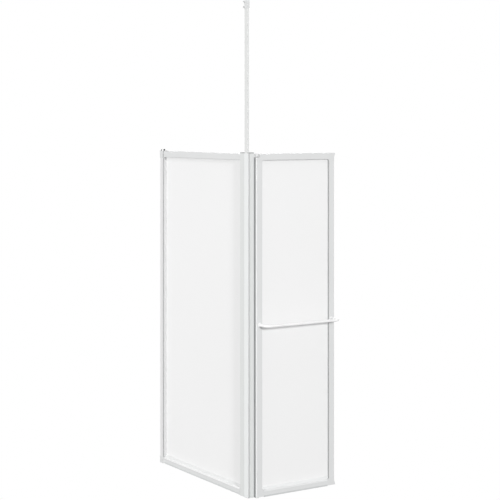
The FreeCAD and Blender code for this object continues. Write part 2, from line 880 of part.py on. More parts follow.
def ceiling_socket():
    grow = slip + socket_wall
    line = rectangle(pole_x0 - grow, pole_y0 - grow, pole_x1 + grow, pole_y1 + grow, post_edge_radius)
    body = rounded_prism(line, plan(socket_rim), z_axis * socket_height)
    pocket = block(pole_x0 - slip, pole_y0 - slip, socket_rim - cut_overrun,
                   pole_x1 + slip, pole_y1 + slip, socket_top - socket_top_plate)
    body = body.cut(pocket)
    middle = Vector((pole_x0 + pole_x1) / 2, (pole_y0 + pole_y1) / 2, socket_top)
    body = body.cut(rod(socket_hole_radius, middle - z_axis * (socket_top_plate + cut_overrun),
                        middle + z_axis * cut_overrun))
    return body.cut(Part.makeCompound(
        screw_holes(socket_screw_places(), x_axis, socket_screw_radius, socket_wall + cut_overrun)))


def socket_screws():
    screws = [pan_screw(seat, x_axis, socket_screw_radius, socket_wall + slip,
                        socket_screw_head_radius, socket_screw_head_height)
              for seat in socket_screw_places()]
    return Part.makeCompound(screws)


# Hinge


def arm_screw_places():
    x = post_in_x + arm_pad_thickness
    y = post_near_y + arm_pad_start + arm_screw_from_start
    low = [arm_screw_inset, arm_pad_height - arm_screw_inset]
    return [Vector(x, y, z) for z in low] + [Vector(x, y, top_arm_high - z) for z in low]


def arm_screw_holes():
    return screw_holes(arm_screw_places(), x_axis * -1, screw_shank_radius,
                       arm_pad_thickness + screw_shank_length)


def hinge_arm(low, high, pad_low, pad_high, hole_low, hole_high):
    """Pad on the post's bath side face with an arm that reaches to the pivot axis."""
    pad_y = post_near_y + arm_pad_start
    pad = block(post_in_x, pad_y, pad_low,
                post_in_x + arm_pad_thickness, pad_y + arm_pad_length, pad_high)
    pivot = Vector(pivot_x, pivot_y, 0)
    boss = rod(boss_radius, pivot + z_axis * low, pivot + z_axis * high)
    root = Vector(post_in_x, post_near_y + arm_root, 0)
    reach = pivot - root
    across = Vector(-reach.y, reach.x, 0).normalize()
    bar = [
        (-arm_width, -arm_width / 2, 0),
        (reach.Length, -arm_width / 2, 0),
        (reach.Length, arm_width / 2, 0),
        (-arm_width, arm_width / 2, 0),
    ]
    onward = Vector(reach).normalize()
    level = z_axis * low
    arm = rounded_prism(bar, lambda u, v: root + level + onward * u + across * v, z_axis * (high - low))
    post_side = block(post_out_x, post_near_y, low - cut_overrun, post_in_x, post_far_y, high + cut_overrun)
    body = pad.fuse([boss, arm]).cut(post_side)
    body = body.cut(rod(pin_radius + press_gap, pivot + z_axis * hole_low, pivot + z_axis * hole_high))
    return body.cut(Part.makeCompound(arm_screw_holes())).removeSplitter()


def hinge_top_arm():
    return hinge_arm(top_arm_low, top_arm_high, top_arm_high - arm_pad_height, top_arm_high,
                     top_arm_low - cut_overrun, top_arm_high - pin_head_room)


def hinge_bottom_arm():
    return hinge_arm(0, bottom_arm_thickness, 0, arm_pad_height,
                     -cut_overrun, bottom_arm_thickness + cut_overrun)


def hinge_pins():
    axis = Vector(pivot_x, pivot_y, 0)
    top = rod(pin_radius, axis + z_axis * (notch_floor - pin_engagement),
              axis + z_axis * (top_arm_high - pin_head_room))
    bottom = rod(pin_radius, axis, axis + z_axis * (frame_bottom + pin_engagement))
    return top, bottom


def bush_radius(clearance):
    """Radius to the corners of the bush's barrel, or of its seat with the clearance."""
    return (pin_radius + running_gap + bush_wall + clearance) / cos(pi / bush_sides)


def bush(seat_z, direction, flange_thickness):
    """Flanged bush: the flange lies outside the seat, the barrel runs along direction."""
    axis = Vector(pivot_x, pivot_y, seat_z)
    depth = pin_engagement + joint_gap
    barrel = flat_rod(bush_radius(0), bush_sides, axis, axis + direction * depth)
    flange = flat_rod(bush_flange_radius, bush_sides, axis - direction * flange_thickness, axis)
    bore = rod(pin_radius + running_gap, axis - direction * cut_overrun,
               axis + direction * (depth + cut_overrun))
    return barrel.fuse(flange).cut(bore)


def bush_seat(seat_z, direction):
    axis = Vector(pivot_x, pivot_y, seat_z)
    depth = pin_engagement + joint_gap + press_gap
    return flat_rod(bush_radius(press_gap), bush_sides,
                    axis - direction * cut_overrun, axis + direction * depth)


def hinge_notch():
    """Space in the top corner of the door for the hinge arm, in every position of the door."""
    near_x = door_edge_x - cut_overrun
    top = screen_height + cut_overrun
    arm_x = pivot_x + arm_width / 2 + boss_room
    front = block(near_x, door_face_y - cut_overrun, notch_floor, arm_x, pivot_y, top)
    back = block(near_x, pivot_y, notch_floor,
                 pivot_x + arm_back_room, door_face_y + frame_thickness + cut_overrun, top)
    axis = Vector(pivot_x, pivot_y, 0)
    return front.fuse([back, rod(boss_radius + boss_room, axis + z_axis * notch_floor, axis + z_axis * top)])


def hinge_strip():
    """White lip along the outer corner of the door's hinge edge."""
    x0 = door_edge_x - strip_thickness
    line = [
        (x0, door_face_y, strip_radius),
        (door_edge_x, door_face_y, 0),
        (door_edge_x, door_face_y + strip_width, 0),
        (x0, door_face_y + strip_width, strip_back_radius),
    ]
    bottom = frame_bottom
    top = notch_floor - joint_gap
    return rounded_prism(line, plan(bottom), z_axis * (top - bottom))


def hinge_edge_seal():
    """Grey strip on the door's hinge edge, behind the white lip."""
    return block(door_edge_x - edge_seal_thickness, door_face_y + strip_width + edge_seal_gap, frame_bottom,
                 door_edge_x, door_face_y + edge_seal_end, notch_floor - joint_gap)


# Towel rail


def rail_ends():
    left_x = door_edge_x + frame_width / 2
    right_x = door_edge_x + door_width - frame_width / 2
    return left_x, right_x


def towel_rail():
    """Bar out from one stile, round a bend, along the door and back to the other stile."""
    left_x, right_x = rail_ends()
    foot_y = door_face_y - flange_thickness
    front_y = door_face_y - rail_projection
    z = rail_height
    legs = []
    for x, inward in ((left_x, 1), (right_x, -1)):
        bend_start = Vector(x, front_y + rail_bend, z)
        legs.append(rod(rail_radius, Vector(x, foot_y, z), bend_start))
        section = Part.Face(Part.Wire([Part.makeCircle(rail_radius, bend_start, y_axis)]))
        hub = Vector(x + inward * rail_bend, front_y + rail_bend, z)
        legs.append(section.revolve(hub, z_axis * inward, quarter_turn))
    front_start = Vector(left_x + rail_bend, front_y, z)
    front = rod(rail_radius, front_start, Vector(right_x - rail_bend, front_y, z))
    return front.fuse(legs).removeSplitter()


def rail_flanges():
    flanges = []
    for x in rail_ends():
        seat = Vector(x, door_face_y, rail_height)
        disc = domed(flange_radius, flange_crown, flange_thickness, seat, y_axis * -1)
        hole = flat_rod(rail_screw_radius, shank_sides, seat + y_axis * cut_overrun,
                        seat - y_axis * (flange_thickness + cut_overrun))
        flanges.append(disc.cut(hole))
    return Part.makeCompound(flanges)


def rail_screw_seats():
    back_y = door_face_y + frame_thickness
    return [Vector(x, back_y, rail_height) for x in rail_ends()]


rail_screw_length = frame_thickness + flange_thickness + rail_screw_bite


def rail_screw_group():
    screws = [pan_screw(seat, y_axis * -1, rail_screw_radius, rail_screw_length,
                        rail_screw_head_radius, rail_screw_head_height)
              for seat in rail_screw_seats()]
    return Part.makeCompound(screws)


def rail_screw_holes():
    return Part.makeCompound(screw_holes(rail_screw_seats(), y_axis * -1,
                                         rail_screw_radius, rail_screw_length))


# Assembly

pieces = build_panel(side, "side", "post", "wall", False, False)
pieces.update(build_panel(door, "door", "hinge", "free", True, True))

pieces["side_post_stile"] = pieces["side_post_stile"].cut(Part.makeCompound(lock_holes(post_screw_y)))
pieces["side_wall_stile"] = pieces["side_wall_stile"].cut(Part.makeCompound(lock_holes(wall_screw_y)))
pieces["side_bottom_seal"] = bottom_seal(side, frame_bottom)
pieces["post_screws"] = Part.makeCompound(lock_screws(post_screw_y))
pieces["wall_profile"] = wall_profile()
pieces["wall_profile_top_cap"] = wall_top_cap()
pieces["wall_profile_foot_cap"] = wall_foot_cap()
pieces["wall_profile_screws"] = Part.makeCompound(lock_screws(wall_screw_y))
pieces["wall_cap_screws"] = wall_cap_screws()

pieces["corner_post"] = corner_post()
pieces["pole_guide"] = pole_guide()
pieces["post_top_cap"] = post_top_cap()
pieces["post_foot_cap"] = post_foot_cap()
pieces["post_seal"] = post_seal()
pieces["ceiling_pole"] = ceiling_pole()
pieces["pole_glider"] = pole_glider()
pieces["ceiling_socket"] = ceiling_socket()
pieces["socket_screws"] = socket_screws()

pieces["hinge_top_arm"] = hinge_top_arm()
pieces["hinge_bottom_arm"] = hinge_bottom_arm()
top_pin, bottom_pin = hinge_pins()
pieces["hinge_top_pin"] = top_pin
pieces["hinge_bottom_pin"] = bottom_pin
pieces["hinge_arm_screws"] = Part.makeCompound([
    pan_screw(seat, x_axis * -1, screw_shank_radius, arm_pad_thickness + arm_screw_bite,
              screw_head_radius, screw_head_height)
    for seat in arm_screw_places()])
pieces["hinge_top_bush"] = bush(notch_floor, z_axis * -1, top_bush_flange)
pieces["hinge_bottom_bush"] = bush(frame_bottom, z_axis, bottom_bush_flange)
pieces["door_corner_top_hinge"] = pieces["door_corner_top_hinge"].cut(hinge_notch())
pieces["door_corner_top_hinge"] = pieces["door_corner_top_hinge"].cut(bush_seat(notch_floor, z_axis * -1))
pieces["door_corner_bottom_hinge"] = pieces["door_corner_bottom_hinge"].cut(bush_seat(frame_bottom, z_axis))
pieces["door_hinge_strip"] = hinge_strip()
pieces["door_hinge_seal"] = hinge_edge_seal()
pieces["door_bottom_seal"] = bottom_seal(door, frame_bottom - seal_ground_gap)

for name in ("door_hinge_stile", "door_free_stile"):
    pieces[name] = pieces[name].cut(rail_screw_holes())
pieces["towel_rail"] = towel_rail().cut(rail_screw_holes())
pieces["towel_rail_flanges"] = rail_flanges()
pieces["towel_rail_screws"] = rail_screw_group()

os.makedirs("parts", exist_ok=True)
for name, shape in pieces.items():
    if not shape.isValid():
        print("not valid:", name)
    if shape.Volume <= 0:
        print("no volume:", name)
    save(name, shape)
print(len(pieces), "pieces")
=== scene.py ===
import json
import math

import bpy
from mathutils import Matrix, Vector


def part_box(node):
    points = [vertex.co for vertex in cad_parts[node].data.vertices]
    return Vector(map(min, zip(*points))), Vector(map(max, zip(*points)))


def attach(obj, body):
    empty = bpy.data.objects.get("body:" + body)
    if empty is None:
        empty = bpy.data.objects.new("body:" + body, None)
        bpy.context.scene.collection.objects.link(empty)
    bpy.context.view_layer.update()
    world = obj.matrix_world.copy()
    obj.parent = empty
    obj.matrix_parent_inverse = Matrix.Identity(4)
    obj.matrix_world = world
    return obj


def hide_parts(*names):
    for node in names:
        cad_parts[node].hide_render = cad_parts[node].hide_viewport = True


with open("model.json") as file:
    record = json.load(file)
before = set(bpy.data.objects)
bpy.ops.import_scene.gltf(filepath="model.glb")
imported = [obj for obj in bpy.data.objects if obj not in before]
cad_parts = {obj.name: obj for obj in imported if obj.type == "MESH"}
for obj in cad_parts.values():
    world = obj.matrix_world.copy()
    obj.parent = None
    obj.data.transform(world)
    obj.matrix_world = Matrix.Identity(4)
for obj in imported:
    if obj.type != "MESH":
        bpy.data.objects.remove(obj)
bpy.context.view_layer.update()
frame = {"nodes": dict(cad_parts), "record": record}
print("frame loaded:", len(frame["nodes"]), "nodes")

# Metres, in the CAD's frame: the post's foot is the origin, the fixed panel runs along +Y to
# the wall and the closed door along +X. The bath lies in the corner between them.


def linearColour(hexText):
    # sRGB hex to linear light
    channels = [int(hexText[i:i + 2], 16) / 255 for i in (1, 3, 5)]
    return [c / 12.92 if c <= 0.04045 else ((c + 0.055) / 1.055) ** 2.4 for c in channels] + [1.0]


def addNode(tree, kind, settings=None, inputs=None):
    # an input is a value, or another node's output to link
    node = tree.nodes.new(kind)
    for name, value in (settings or {}).items():
        setattr(node, name, value)
    for socket, value in (inputs or {}).items():
        if isinstance(value, bpy.types.NodeSocket):
            tree.links.new(value, node.inputs[socket])
        else:
            node.inputs[socket].default_value = value
    return node


# Camera

cameraView = {
    "place": (-3.084, -4.808, 1.5205),
    "azimuth": -32.8,           # level view, degrees about the upright axis
    "lens": 100.66,             # mm on a 36 mm sensor
    "sensor": 36,
    "shiftY": -0.2514,          # keeps the uprights upright, as in the photograph
    "farthest": 200,
}


def makeCamera():
    camera = bpy.data.objects.new("camera", bpy.data.cameras.new("camera"))
    bpy.context.collection.objects.link(camera)
    camera.location = cameraView["place"]
    camera.rotation_euler = (math.pi / 2, 0, math.radians(cameraView["azimuth"]))
    camera.data.sensor_fit = "HORIZONTAL"
    camera.data.sensor_width = cameraView["sensor"]
    camera.data.lens = cameraView["lens"]
    camera.data.shift_y = cameraView["shiftY"]
    camera.data.clip_end = cameraView["farthest"]
    bpy.context.scene.camera = camera


makeCamera()
print("camera placed")


# Materials, with each pattern's size and each bump's height in metres

def startMaterial(name):
    material = bpy.data.materials.new(name)
    material.use_nodes = True
    material.node_tree.nodes.clear()
    return material


def finishMaterial(material, make, look, patterns, constants):
    # two close tones mixed by one pattern, with gloss and bump that follow theirs
    hexLight, hexDark, roughness = look
    toneBy, glossBy, bumpBy = patterns
    tree = material.node_tree
    tone = addNode(tree, "ShaderNodeMix", {"data_type": "RGBA"}, {
        "Factor": toneBy, "A": linearColour(hexDark), "B": linearColour(hexLight)})
    gloss = addNode(tree, "ShaderNodeMapRange", {}, {
        "Value": glossBy, "To Min": roughness - make["glossSpread"],
        "To Max": roughness + make["glossSpread"]})
    bump = addNode(tree, "ShaderNodeBump", {}, {
        "Height": bumpBy, "Strength": make["bumpStrength"], "Distance": make["bumpHeight"]})
    shader = addNode(tree, "ShaderNodeBsdfPrincipled", {}, {
        "Base Color": tone.outputs["Result"], "Roughness": gloss.outputs["Result"],
        "Normal": bump.outputs["Normal"], **constants})
    addNode(tree, "ShaderNodeOutputMaterial", {}, {"Surface": shader.outputs["BSDF"]})
    return material


powderMake = {
    "peel": 0.0045,             # orange peel is nearer 1 mm, drawn coarser so that it can show
    "peelDetail": 2.0,
    "peelRoughness": 0.45,
    "cloud": 0.11,              # slow drift of the coat's thickness
    "cloudDetail": 3.0,
    "glossSpread": 0.04,
    "bumpStrength": 0.10,
    "bumpHeight": 0.0003,
    "ior": 1.5,
}


def powderCoat(name, hexLight, hexDark, roughness):
    # Polyester powder baked on extruded aluminium: a satin skin whose faint orange peel
    # softens every highlight into a slightly uneven sheen.
    material = startMaterial(name)
    tree = material.node_tree
    place = addNode(tree, "ShaderNodeTexCoord").outputs["Object"]
    peel = addNode(tree, "ShaderNodeTexNoise", {}, {
        "Vector": place, "Scale": 1 / powderMake["peel"], "Detail": powderMake["peelDetail"],
        "Roughness": powderMake["peelRoughness"]}).outputs["Fac"]
    cloud = addNode(tree, "ShaderNodeTexNoise", {}, {
        "Vector": place, "Scale": 1 / powderMake["cloud"],
        "Detail": powderMake["cloudDetail"]}).outputs["Fac"]
    return finishMaterial(material, powderMake, (hexLight, hexDark, roughness),
                          (cloud, peel, peel), {"IOR": powderMake["ior"]})


mouldedMake = {
    "grain": 0.0016,            # spark erosion leaves 0.2 mm, drawn coarser so that it can show
    "flow": 0.042,              # marks where the melt slowed in the mould
    "flowDetail": 2.0,
    "glossSpread": 0.05,
    "bumpStrength": 0.12,
    "bumpHeight": 0.0002,
    "ior": 1.53,
}


def mouldedPlastic(name, hexLight, hexDark, roughness, ior=mouldedMake["ior"]):
    # ABS, nylon or acetal from a spark-eroded mould: a fine even grain breaks up the light,
    # and pale flow marks keep large faces from looking flat.
    material = startMaterial(name)
    tree = material.node_tree
    place = addNode(tree, "ShaderNodeTexCoord").outputs["Object"]
    grain = addNode(tree, "ShaderNodeTexVoronoi", {}, {
        "Vector": place, "Scale": 1 / mouldedMake["grain"]}).outputs["Distance"]
    flow = addNode(tree, "ShaderNodeTexNoise", {}, {
        "Vector": place, "Scale": 1 / mouldedMake["flow"],
        "Detail": mouldedMake["flowDetail"]}).outputs["Fac"]
    return finishMaterial(material, mouldedMake, (hexLight, hexDark, roughness),
                          (flow, flow, grain), {"IOR": ior})


sheetMake = {
    "etch": 0.0024,             # the roll's etch is about 0.1 mm, drawn coarser so that it can show
    "etchDetail": 3.0,
    "etchRoughness": 0.6,
    "ripple": 0.33,             # a thin sheet held at its edges
    "rippleDetail": 1.0,
    "rippleHeight": 4.0,        # of the etch's
    "glossSpread": 0.05,
    "bumpStrength": 0.08,
    "bumpHeight": 0.0004,
    "ior": 1.49,
}


def opalSheet(name, hexLight, hexDark, roughness):
    # Opal acrylic cast against a lightly etched roll: milky, with a soft wide sheen
    # and the very shallow ripple of a thin sheet held in a frame.
    material = startMaterial(name)
    tree = material.node_tree
    place = addNode(tree, "ShaderNodeTexCoord").outputs["Object"]
    etch = addNode(tree, "ShaderNodeTexNoise", {}, {
        "Vector": place, "Scale": 1 / sheetMake["etch"], "Detail": sheetMake["etchDetail"],
        "Roughness": sheetMake["etchRoughness"]}).outputs["Fac"]
    ripple = addNode(tree, "ShaderNodeTexNoise", {}, {
        "Vector": place, "Scale": 1 / sheetMake["ripple"],
        "Detail": sheetMake["rippleDetail"]}).outputs["Fac"]
    height = addNode(tree, "ShaderNodeMath", {"operation": "MULTIPLY_ADD"}, {
        0: ripple, 1: sheetMake["rippleHeight"], 2: etch}).outputs["Value"]
    return finishMaterial(material, sheetMake, (hexLight, hexDark, roughness),
                          (ripple, etch, height), {"IOR": sheetMake["ior"]})


rubberMake = {
    "bloom": 0.017,             # patches of wax that rise to the rubber's skin
    "bloomDetail": 4.0,
    "glossSpread": 0.06,
    "bumpStrength": 0.15,
    "bumpHeight": 0.0002,
    "ior": 1.5,
}


def softRubber(name, hexLight, hexDark, roughness):
    # Extruded thermoplastic rubber: matt, with a faint bloom that mottles its skin.
    material = startMaterial(name)
    tree = material.node_tree
    place = addNode(tree, "ShaderNodeTexCoord").outputs["Object"]
    bloom = addNode(tree, "ShaderNodeTexNoise", {}, {
        "Vector": place, "Scale": 1 / rubberMake["bloom"],
        "Detail": rubberMake["bloomDetail"]}).outputs["Fac"]
    return finishMaterial(material, rubberMake, (hexLight, hexDark, roughness),
                          (bloom, bloom, bloom), {"IOR": rubberMake["ior"]})


steelMake = {
    "rub": 0.0011,              # marks finer than 0.1 mm, drawn coarser so that they can show
    "rubDetail": 4.0,
    "rubRoughness": 0.7,
    "glossSpread": 0.08,
    "bumpStrength": 0.1,
    "bumpHeight": 0.0001,
}


def tumbledSteel(name, hexLight, hexDark, roughness):
    # Stainless steel, cold headed and tumbled: bright, with fine rub marks in every direction.
    material = startMaterial(name)
    tree = material.node_tree
    place = addNode(tree, "ShaderNodeTexCoord").outputs["Object"]
    rub = addNode(tree, "ShaderNodeTexNoise", {}, {
        "Vector": place, "Scale": 1 / steelMake["rub"], "Detail": steelMake["rubDetail"],
        "Roughness": steelMake["rubRoughness"]}).outputs["Fac"]
    return finishMaterial(material, steelMake, (hexLight, hexDark, roughness),
                          (rub, rub, rub), {"Metallic": 1.0})


# One finish for each slot of the record, from its light tone, dark tone and roughness
finishes = {
    "frame_coating": powderCoat("frame powder coat", "#e3e4e4", "#dfe0e0", 0.42),
    "post_coating": powderCoat("post powder coat", "#e3e5e4", "#dfe1e0", 0.42),
    "guide_coating": powderCoat("pole guide powder coat", "#f1f3f3", "#edefee", 0.42),
    # the post cap's grey is painted shade: it draws the dark seam line at the top of the post
    "cap_moulding": mouldedPlastic("post cap ABS painted seam shade", "#b6b8b7", "#afb1b0", 0.45),
    "pole_coating": powderCoat("pole powder coat", "#e6e7e6", "#e2e3e2", 0.40),
    "rail_coating": powderCoat("towel rail gloss coat", "#fcfcfc", "#f8f8f8", 0.25),
    "white_casting": powderCoat("hinge casting coat", "#e2e3e3", "#dcdddd", 0.45),
    "white_moulding": mouldedPlastic("white ABS", "#e2e3e3", "#dedfdf", 0.40),
    "white_strip": mouldedPlastic("hinge lip ABS", "#fbfbfb", "#f7f8f8", 0.35),
    "sill_moulding": mouldedPlastic("sill ABS", "#f1f2f2", "#edeeee", 0.40),
    "satin_acrylic": opalSheet("opal acrylic sheet", "#f7f7f7", "#f5f5f5", 0.45),
    # the glazing gasket's dark grey is painted shade for the glazing recess
    "grey_gasket": softRubber("glazing gasket rubber painted recess shade", "#a2a3a3", "#989999", 0.60),
    # the seal's grey is partly its own and partly painted shade, darkened for the shaded gap
    # between the post and the door
    "grey_seal": softRubber("grey seal rubber partly painted gap shade", "#c4c6c6", "#babcbc", 0.60),
    "dark_plastic": mouldedPlastic("dark nylon", "#222222", "#1a1a1a", 0.45),
    "grey_screw": mouldedPlastic("grey nylon screw", "#d2d3d3", "#cacbcb", 0.40),
    "screw_steel": tumbledSteel("tumbled stainless steel", "#c9cacb", "#b4b5b7", 0.30),
    "bearing_plastic": mouldedPlastic("graphite grey acetal", "#5c5e60", "#525456", 0.40, 1.48),
}

# Nodes and pieces toned paler or darker than the rest of their slot. These tones are painted light
# and shade: lit and shaded copies of one material, a painted highlight, and grey strips where shade
# falls.
batches = {
    # The wall profile is a paler copy of the frame coat and the side pane a darker copy of the
    # door's pane, painted light and shade.
    "wall_profile": powderCoat("wall profile powder coat", "#e8e8e8", "#e4e4e4", 0.42),
    "side_pane": opalSheet("opal acrylic sheet of the side", "#f6f6f6", "#f4f4f4", 0.45),
    # The two panels' gasket rings are copies of one rubber toned apart as painted light and shade,
    # and the heels' greys are painted shade along the edge of the frame's opening.
    "side_gasket_outer": softRubber("side gasket rubber", "#dfe0e0", "#d7d8d8", 0.60),
    "side_gasket_heel": softRubber("side gasket heel painted shade", "#c3c4c4", "#bbbcbc", 0.60),
    "door_gasket_outer": softRubber("door gasket rubber", "#e6e7e7", "#dedfdf", 0.60),
    "door_gasket_heel": softRubber("door gasket heel painted shade", "#9ea0a0", "#949696", 0.60),
    # The side sill's slope is a shaded copy of the sill moulding, and its lip a paler copy, a
    # painted highlight along the top edge of the bottom rail.
    "side_sill": mouldedPlastic("side sill slope painted shade", "#e9eaea", "#e5e6e6", 0.40),
    "side_sill_lip": mouldedPlastic("side sill lip painted highlight", "#fcfcfc", "#f8f8f8", 0.40),
    # grey strip in the wall profile's step, painted shade
    "wall_step_shade": softRubber("wall step shade rubber", "#abadad", "#a1a3a3", 0.60),
    # grey strip down the pole guide's front, painted shade
    "guide_shade_strip": softRubber("guide shade strip rubber", "#cdcece", "#c3c4c4", 0.60),
    # The two panels' bottom seals are copies of one rubber toned apart as painted light and shade.
    "side_bottom_seal": softRubber("side seal rubber", "#d9dbdb", "#cfd1d1", 0.60),
    "door_bottom_seal": softRubber("door seal rubber", "#d3d5d5", "#c9cbcb", 0.60),
}

for row in frame["record"]["subparts"]:
    node = frame["nodes"][row["node"]]
    node.data.materials.clear()
    node.data.materials.append(batches.get(row["node"], finishes[row["material_slot"]]))
print("materials:", len(finishes) + len(batches))


# Mesh helpers

meshRules = {
    "sharpAngle": 38,           # degrees, above which an edge of a smooth piece stays crisp
    "steepAxis": 0.9,           # an axis with more rise than this counts as upright
    "sameDigits": 6,            # points that agree to a micron are one
}

panels = {                      # panel: (body, axis through the panel, axis along it)
    "side": ("screen", 0, 1),
    "door": ("door", 1, 0),
}


def addPiece(name, points, faces, slot, body, nodes, smooth=True, batch=None):
    mesh = bpy.data.meshes.new(name)
    mesh.from_pydata([tuple(p) for p in points], [], faces)
    mesh.materials.append(batches.get(batch, finishes[slot]))
    for polygon in mesh.polygons:
        polygon.use_smooth = smooth
    piece = bpy.data.objects.new(name, mesh)
    bpy.context.collection.objects.link(piece)
    if smooth:
        mesh.set_sharp_from_angle(angle=math.radians(meshRules["sharpAngle"]))
    if nodes:
        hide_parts(*nodes)
    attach(piece, body)


def stackRings(points, faces, rings):
    # joins rings of as many points into a skin and closes its ends
    count = len(rings[0])
    first = len(points)
    for ring in rings:
        points.extend(ring)
    for k in range(len(rings) - 1):
        low, high = first + k * count, first + (k + 1) * count
        for i in range(count):
            j = (i + 1) % count
            faces.append((low + i, low + j, high + j, high + i))
    faces.append(tuple(first + count - 1 - i for i in range(count)))
    last = first + (len(rings) - 1) * count
    faces.append(tuple(last + i for i in range(count)))


def addUprightStrip(name, section, ends, slot, batch):
    # section is a list of (x, y) and ends are two heights
    points, faces = [], []
    stackRings(points, faces, [[(x, y, z) for x, y in section] for z in ends])
    addPiece(name, points, faces, slot, "screen", [], batch=batch)


def acrossAxes(along):
    # two directions square to an axis, so that (u, v, along) is right handed
    along = Vector(along).normalized()
    guess = Vector((0, 0, 1)) if abs(along.z) < meshRules["steepAxis"] else Vector((1, 0, 0))
    u = guess.cross(along).normalized()
    return u, along.cross(u)


def quarterTurn(steps):
    return [math.pi / 2 * k / steps for k in range(steps + 1)]


def roundRing(middle, along, radius, count):
    u, v = acrossAxes(along)
    steps = [2 * math.pi * i / count for i in range(count)]
    return [middle + u * (radius * math.cos(a)) + v * (radius * math.sin(a)) for a in steps]


def hexRing(middle, along, corner, count):
    # a hexagon drawn with as many points as the round rings beside it
    u, v = acrossAxes(along)
    flat = corner * math.cos(math.pi / 6)
    points = []
    for i in range(count):
        a = 2 * math.pi * i / count
        reach = flat / math.cos((a % (math.pi / 3)) - math.pi / 6)
        points.append(middle + u * (reach * math.cos(a)) + v * (reach * math.sin(a)))
    return points


def looseSolids(nodeName):
    # the separate solids of one CAD node, each as the list of its points
    mesh = frame["nodes"][nodeName].data
    owner = list(range(len(mesh.vertices)))

    def rootOf(i):
        while owner[i] != i:
            owner[i] = owner[owner[i]]
            i = owner[i]
        return i

    seen = {}
    for i, vertex in enumerate(mesh.vertices):
        key = tuple(round(c, meshRules["sameDigits"]) for c in vertex.co)
        if key in seen:
            owner[rootOf(i)] = rootOf(seen[key])
        else:
            seen[key] = i
    for edge in mesh.edges:
        a, b = edge.vertices
        owner[rootOf(a)] = rootOf(b)
    solids = {}
    for i, vertex in enumerate(mesh.vertices):
        solids.setdefault(rootOf(i), []).append(vertex.co.copy())
    return list(solids.values())


def cornersOf(points):
    low = Vector([min(p[i] for p in points) for i in range(3)])
    high = Vector([max(p[i] for p in points) for i in range(3)])
    return low, high


# Pan head screws with a hexagon socket

panScrews = {
    "segments": 36,
    "rimShare": 0.95,           # a CAD point further out than this is on the head's rim
    "edgeShare": 0.38,          # rounded edge of the head, of its radius
    "wallShare": 0.42,          # upright wall of the head, of its height
    "edgeSteps": 6,
    "socketShare": 0.38,        # socket's corners, of the head's radius
    "socketDepthShare": 0.5,    # of the head's height
    "tipShare": 0.6,            # blunt point of the shank, of its radius
    "groups": {                 # node: (way the screw goes in, slot, body)
        "side_frame_screws": ((-1, 0, 0), "screw_steel", "screen"),
        "post_screws": ((-1, 0, 0), "screw_steel", "screen"),
        "wall_profile_screws": ((-1, 0, 0), "screw_steel", "screen"),
        "hinge_arm_screws": ((-1, 0, 0), "screw_steel", "screen"),
        "socket_screws": ((1, 0, 0), "grey_screw", "screen"),
        "door_frame_screws": ((0, -1, 0), "screw_steel", "door"),
        "towel_rail_screws": ((0, -1, 0), "screw_steel", "door"),
    },
}


def panScrewRings(solid, into):
    # measures a CAD screw and returns the rings of a smooth one in the same place
    into = Vector(into)
    low, high = cornersOf(solid)
    middle = (low + high) / 2
    axis = middle - into * middle.dot(into)     # the point of the screw's axis nearest the origin
    depths = [p.dot(into) for p in solid]
    radii = [(p - into * p.dot(into) - axis).length for p in solid]
    headRadius = max(radii)
    rim = headRadius * panScrews["rimShare"]
    top, tip = min(depths), max(depths)
    seat = max(d for d, r in zip(depths, radii) if r > rim)
    shankRadius = max(r for d, r in zip(depths, radii) if d > (seat + tip) / 2)
    height = seat - top
    point = shankRadius * panScrews["tipShare"]
    edge = headRadius * panScrews["edgeShare"]
    wall = height * panScrews["wallShare"]
    socket = headRadius * panScrews["socketShare"]
    floor = top + height * panScrews["socketDepthShare"]
    count = panScrews["segments"]

    def ringAt(depth, radius):
        return roundRing(axis + into * depth, -into, radius, count)

    rings = [ringAt(tip, point), ringAt(tip - point, shankRadius),
             ringAt(seat, shankRadius), ringAt(seat, headRadius)]
    for a in quarterTurn(panScrews["edgeSteps"]):
        rings.append(ringAt(seat - wall - (height - wall) * math.sin(a),
                            headRadius - edge + edge * math.cos(a)))
    for depth in (top, floor):
        rings.append(hexRing(axis + into * depth, -into, socket, count))
    return rings


for nodeName, (into, slot, body) in panScrews["groups"].items():
    points, faces = [], []
    for solid in looseSolids(nodeName):
        stackRings(points, faces, panScrewRings(solid, into))
    addPiece(nodeName.replace("_", "-"), points, faces, slot, body, [nodeName])
print("pan head screws:", len(panScrews["groups"]), "groups")


# Locking screws on the wall profile's cap

lockScrews = {
    "segments": 40,
    "slotWidth": 0.0012,
    "slotDepth": 0.0009,
    "edge": 0.0005,
}


def lockScrewHead(points, faces, solid, slotted):
    low, high = cornersOf(solid)
    middle = (low + high) / 2
    radius = (high.x - low.x) / 2
    count = lockScrews["segments"]
    edge = lockScrews["edge"]
    up = Vector((0, 0, 1))
    shoulder = high.z - (lockScrews["slotDepth"] if slotted else edge)

    def levelRing(z, ringRadius):
        return roundRing(Vector((middle.x, middle.y, z)), up, ringRadius, count)

    rings = [levelRing(low.z, radius), levelRing(shoulder, radius)]
    if not slotted:
        rings.append(levelRing(high.z, radius - edge))
    stackRings(points, faces, rings)
    if not slotted:
        return
    half = lockScrews["slotWidth"] / 2
    steps = count // 2
    for side in (1, -1):                    # the two lands beside the driver's slot
        lands = []
        for z, r in ((shoulder, radius), (high.z - edge, radius), (high.z, radius - edge)):
            start = math.asin(half / r)
            angles = [start + (math.pi - 2 * start) * i / steps for i in range(steps + 1)]
            lands.append([Vector((middle.x + r * math.cos(a) * side,
                                  middle.y + r * math.sin(a) * side, z)) for a in angles])
        stackRings(points, faces, lands)


